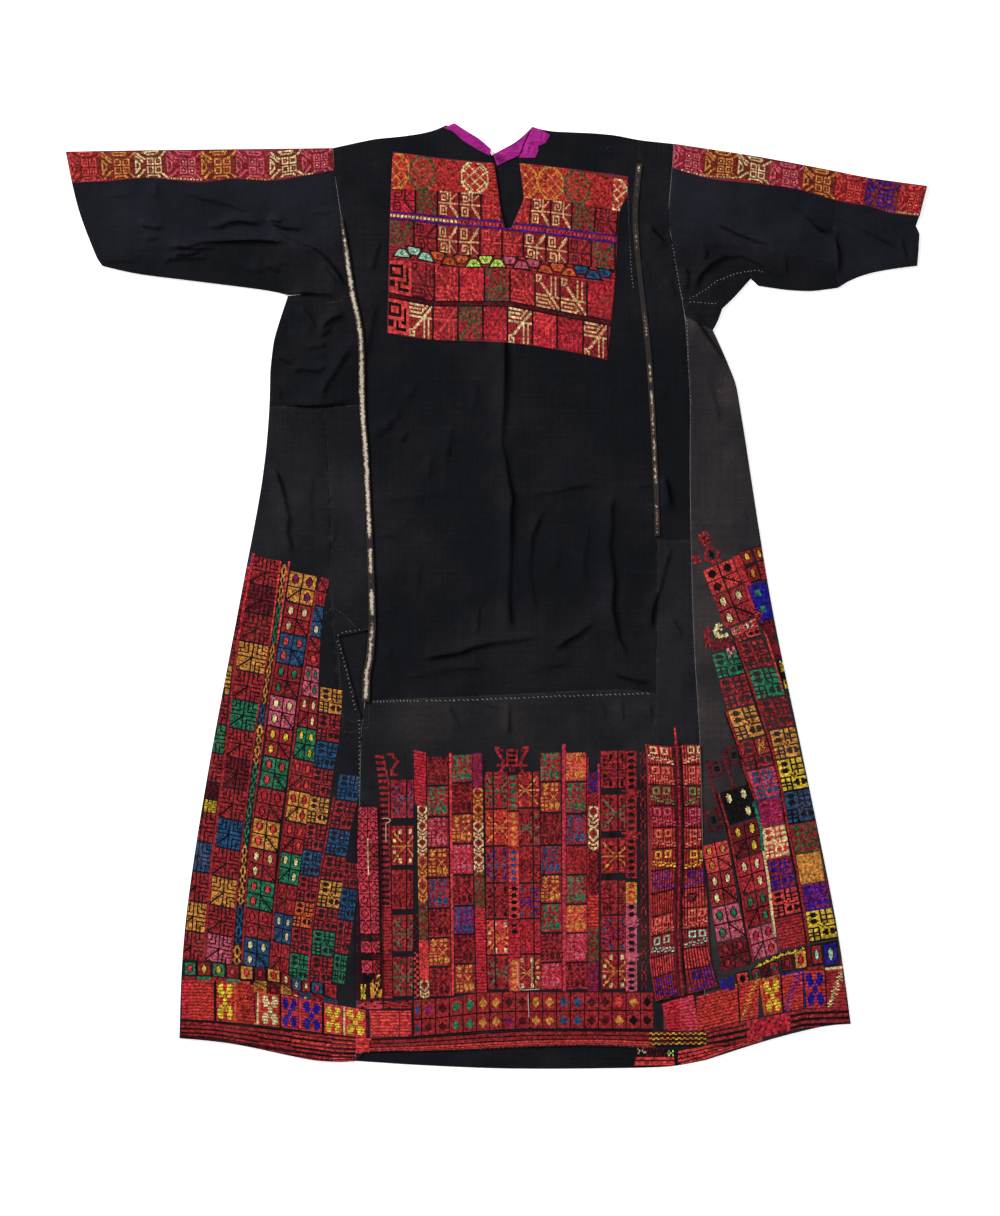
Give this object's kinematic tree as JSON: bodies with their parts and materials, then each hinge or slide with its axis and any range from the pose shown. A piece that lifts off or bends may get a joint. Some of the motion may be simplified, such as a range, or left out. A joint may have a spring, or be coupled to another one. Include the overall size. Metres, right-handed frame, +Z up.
{
  "type": "palestinian thobe dress",
  "caption": "Long black cotton thobe dress laid flat, with cross-stitched chest panel, sleeve bands and skirt, patched and mended.",
  "frame": {"origin": "on the surface it lies on, under the middle of the laid-out dress", "axes": "+Y towards the collar, +X to the right as it is looked at from above, +Z up out of the front"},
  "size_m": [1.2056, 1.3236, 0.0096],
  "materials": {
    "black_cotton": "matt, washed black plain weave",
    "navy_cotton": "matt, navy black plain weave",
    "faded_cotton": "matt, faded charcoal plain weave",
    "embroidered_cotton": "cross-stitch in cotton and silk floss, madder red ground",
    "satin_binding": "purple satin, soft sheen",
    "selvedge_tape": "frayed cream selvedge"
  },
  "bodies": {
    "root": {"back_centre": "black_cotton", "front_centre": "black_cotton", "front_lower": "black_cotton", "shoulder_strip_right": "black_cotton", "underarm_left": "black_cotton", "sleeve_under_left": "black_cotton", "gusset_right": "black_cotton", "back_sleeve_left": "navy_cotton", "back_sleeve_right": "navy_cotton", "sleeve_left": "navy_cotton", "sleeve_right": "navy_cotton", "sleeve_cuff_right": "navy_cotton", "cuff_patch_right": "navy_cotton", "back_gore_left": "faded_cotton", "back_gore_right": "faded_cotton", "side_strip_right": "faded_cotton", "side_strip_left": "faded_cotton", "gore_left": "faded_cotton", "gore_right": "faded_cotton", "sleeve_under_right": "faded_cotton", "sleeve_band_left": "embroidered_cotton", "sleeve_band_right": "embroidered_cotton", "chest_panel": "embroidered_cotton", "pink_patch": "embroidered_cotton", "striped_patch": "embroidered_cotton", "hem_patch_left": "embroidered_cotton", "hem_patch_right": "embroidered_cotton", "zigzag_strip_right": "embroidered_cotton", "binding_left": "satin_binding", "binding_right": "satin_binding", "binding_back": "satin_binding", "tape_left": "selvedge_tape", "tape_right": "selvedge_tape"}
  },
  "joints": []
}
